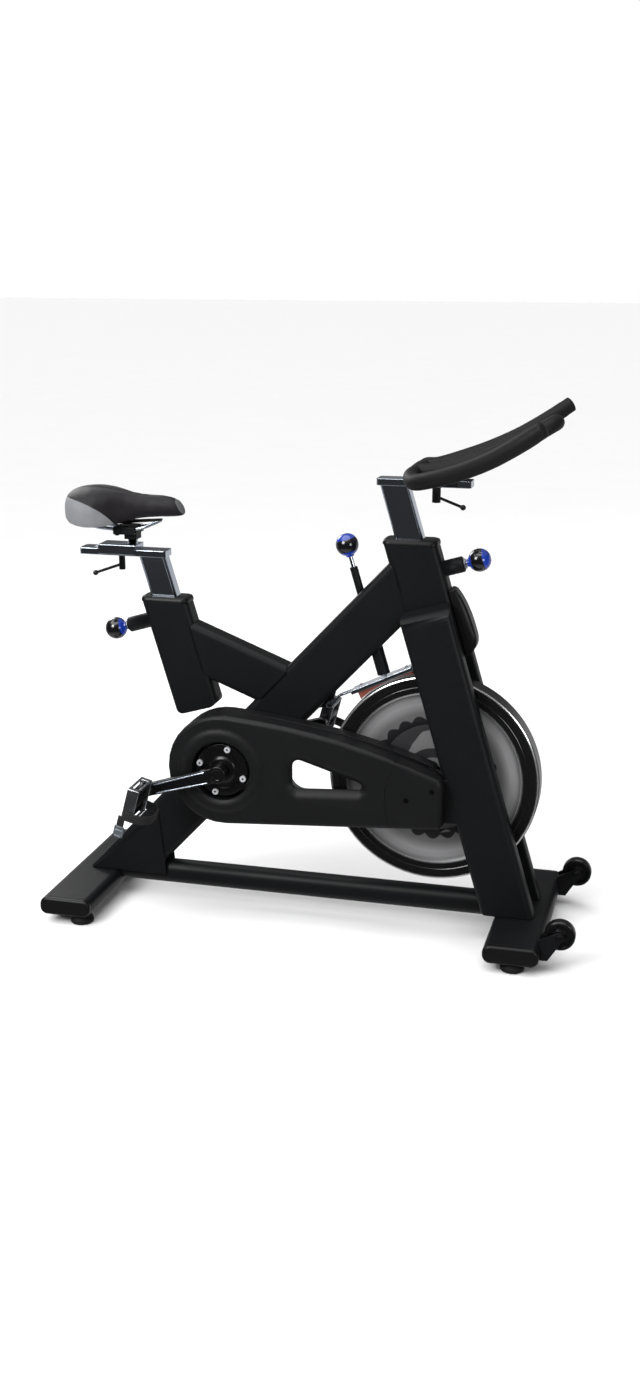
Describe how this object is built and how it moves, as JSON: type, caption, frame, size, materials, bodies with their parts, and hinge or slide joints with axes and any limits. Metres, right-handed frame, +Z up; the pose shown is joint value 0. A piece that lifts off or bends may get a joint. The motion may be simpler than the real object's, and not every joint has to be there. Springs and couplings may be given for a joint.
{
  "type": "exercise bike",
  "caption": "Upright indoor cycling trainer with a front flywheel between fork legs, belt drive behind a guard, friction brake, sliding saddle and bullhorn handlebar.",
  "frame": {"origin": "middle of the floor plan, on the floor", "axes": "+X forwards to the handlebar, +Y to the rider's left, +Z up"},
  "size_m": [1.1776, 0.5434, 1.1423],
  "materials": {
    "black_paint": "satin",
    "black_plastic": "satin",
    "gloss_black": "gloss",
    "black_rubber": "matte",
    "chrome": "polished",
    "steel": "satin",
    "flywheel_metal": "satin",
    "saddle_skin": "satin",
    "bar_foam": "matte",
    "felt": "matte",
    "webbing": "matte"
  },
  "bodies": {
    "frame": {"front_stabilizer": "black_paint", "rear_stabilizer": "black_paint", "base_beam": "black_paint", "front_cap_right": "black_plastic", "front_cap_left": "black_plastic", "rear_cap_right": "black_plastic", "rear_cap_left": "black_plastic", "wheel_bracket_right": "black_paint", "wheel_bracket_left": "black_paint", "main_tube": "black_paint", "seat_stay": "black_paint", "seat_tube": "black_paint", "head_tube": "black_paint", "fork_leg_right": "black_paint", "fork_leg_left": "black_paint", "seat_collar": "gloss_black", "head_collar": "gloss_black", "crown_cover": "black_plastic", "crank_bearing_right": "steel", "crank_bearing_left": "steel", "flywheel_axle": "steel", "guard_shell": "black_plastic", "guard_front_cover": "black_plastic", "guard_back": "black_plastic", "brake_rod_sleeve": "black_paint", "drive_belt": "black_rubber"},
    "front_right_foot": {"front_foot_right": "black_rubber"},
    "front_left_foot": {"front_foot_left": "black_rubber"},
    "rear_right_foot": {"rear_foot_right": "black_rubber"},
    "rear_left_foot": {"rear_foot_left": "black_rubber"},
    "right_wheel": {"transport_wheel_right": "black_rubber"},
    "left_wheel": {"transport_wheel_left": "black_rubber"},
    "cranks": {"crank_arm_right": "black_paint", "crank_arm_left": "black_paint", "crank_disc": "black_plastic", "crank_spindle": "steel", "drive_pulley": "steel"},
    "right_pedal": {"pedal_right": "steel", "toe_strap_right": "webbing"},
    "left_pedal": {"pedal_left": "steel", "toe_strap_left": "webbing"},
    "flywheel": {"flywheel": "flywheel_metal"},
    "brake_plunger": {"brake_rod": "steel"},
    "brake_dial": {"brake_knob": "gloss_black"},
    "brake_spring_arm": {"brake_arm": "chrome", "brake_pad": "felt"},
    "seat_pull_pin": {"seat_pin": "gloss_black"},
    "handlebar_pull_pin": {"handlebar_pin": "gloss_black"},
    "seat_mast": {"seat_post": "chrome"},
    "seat_slider": {"seat_carriage": "chrome", "saddle_clamp": "black_paint"},
    "seat_lever": {"seat_clamp_lever": "gloss_black"},
    "saddle": {"saddle_frame": "black_plastic", "saddle_pad": "saddle_skin"},
    "handlebar_mast": {"handlebar_post": "chrome"},
    "handlebar_slider": {"handlebar_carriage": "black_plastic", "handlebar": "bar_foam"},
    "handlebar_lever": {"handlebar_clamp_lever": "gloss_black"}
  },
  "joints": [
    {"name": "crank_spin", "type": "hinge", "parent": "frame", "child": "cranks", "pos_m": [-0.19675, 0, 0.351], "axis": [0, 1, 0], "continuous": true},
    {"name": "flywheel_spin", "type": "hinge", "parent": "frame", "child": "flywheel", "pos_m": [0.25525, 0, 0.3425], "axis": [0, 1, 0], "continuous": true},
    {"name": "right_pedal_spin", "type": "hinge", "parent": "cranks", "child": "right_pedal", "pos_m": [-0.35932, -0.2, 0.3013], "axis": [0, 1, 0], "continuous": true},
    {"name": "left_pedal_spin", "type": "hinge", "parent": "cranks", "child": "left_pedal", "pos_m": [-0.03418, 0.2, 0.4007], "axis": [0, 1, 0], "continuous": true},
    {"name": "seat_height", "type": "slide", "parent": "frame", "child": "seat_mast", "axis": [-0.2857, 0, 0.9583], "range_m": [-0.075, 0.105]},
    {"name": "seat_fore_aft", "type": "slide", "parent": "seat_mast", "child": "seat_slider", "axis": [1, 0, 0], "range_m": [-0.045, 0.03]},
    {"name": "saddle_tilt", "type": "hinge", "parent": "seat_slider", "child": "saddle", "pos_m": [-0.43675, 0, 0.856], "axis": [0, 1, 0], "range_deg": [-5, 5]},
    {"name": "seat_lever_turn", "type": "hinge", "parent": "seat_slider", "child": "seat_lever", "pos_m": [-0.45375, 0, 0.78], "axis": [0, 0, 1], "range_deg": [-90, 20]},
    {"name": "handlebar_height", "type": "slide", "parent": "frame", "child": "handlebar_mast", "axis": [-0.2857, 0, 0.9583], "range_m": [-0.065, 0.09]},
    {"name": "handlebar_fore_aft", "type": "slide", "parent": "handlebar_mast", "child": "handlebar_slider", "axis": [1, 0, 0], "range_m": [-0.035, 0.025]},
    {"name": "handlebar_lever_turn", "type": "hinge", "parent": "handlebar_slider", "child": "handlebar_lever", "pos_m": [0.24625, 0, 0.955], "axis": [0, 0, 1], "range_deg": [-20, 90]},
    {"name": "seat_pin_pull", "type": "slide", "parent": "frame", "child": "seat_pull_pin", "axis": [-0.9583, 0, -0.2857], "range_m": [0, 0.01], "stiffness_N_per_m": 800, "springref_m": -0.01},
    {"name": "handlebar_pin_pull", "type": "slide", "parent": "frame", "child": "handlebar_pull_pin", "axis": [0.9583, 0, 0.2857], "range_m": [0, 0.01], "stiffness_N_per_m": 800, "springref_m": -0.01},
    {"name": "brake_press", "type": "slide", "parent": "frame", "child": "brake_plunger", "axis": [0.2857, 0, -0.9583], "range_m": [0, 0.004], "stiffness_N_per_m": 3000, "springref_m": -0.003},
    {"name": "brake_knob_turn", "type": "hinge", "parent": "brake_plunger", "child": "brake_dial", "pos_m": [0.05725, 0, 0.841], "axis": [-0.2857, 0, 0.9583], "range_deg": [0, 1080]},
    {"name": "brake_arm_swing", "type": "hinge", "parent": "frame", "child": "brake_spring_arm", "pos_m": [0.02125, 0, 0.489], "axis": [0, 1, 0], "range_deg": [0, 1.6]},
    {"name": "right_wheel_spin", "type": "hinge", "parent": "frame", "child": "right_wheel", "pos_m": [0.55625, -0.176, 0.081], "axis": [0, 1, 0], "continuous": true},
    {"name": "left_wheel_spin", "type": "hinge", "parent": "frame", "child": "left_wheel", "pos_m": [0.55625, 0.176, 0.081], "axis": [0, 1, 0], "continuous": true},
    {"name": "front_right_foot_turn", "type": "hinge", "parent": "frame", "child": "front_right_foot", "pos_m": [0.46225, -0.196, 0.01], "axis": [0, 0, 1], "range_deg": [-180, 180]},
    {"name": "front_left_foot_turn", "type": "hinge", "parent": "frame", "child": "front_left_foot", "pos_m": [0.46225, 0.196, 0.01], "axis": [0, 0, 1], "range_deg": [-180, 180]},
    {"name": "rear_right_foot_turn", "type": "hinge", "parent": "frame", "child": "rear_right_foot", "pos_m": [-0.49975, -0.196, 0.01], "axis": [0, 0, 1], "range_deg": [-180, 180]},
    {"name": "rear_left_foot_turn", "type": "hinge", "parent": "frame", "child": "rear_left_foot", "pos_m": [-0.49975, 0.196, 0.01], "axis": [0, 0, 1], "range_deg": [-180, 180]}
  ],
  "couplings": [
    {"joint": "crank_spin", "follows": "flywheel_spin", "ratio": 0.33943},
    {"joint": "brake_arm_swing", "follows": "brake_press", "rad_per_m": 6.95}
  ]
}
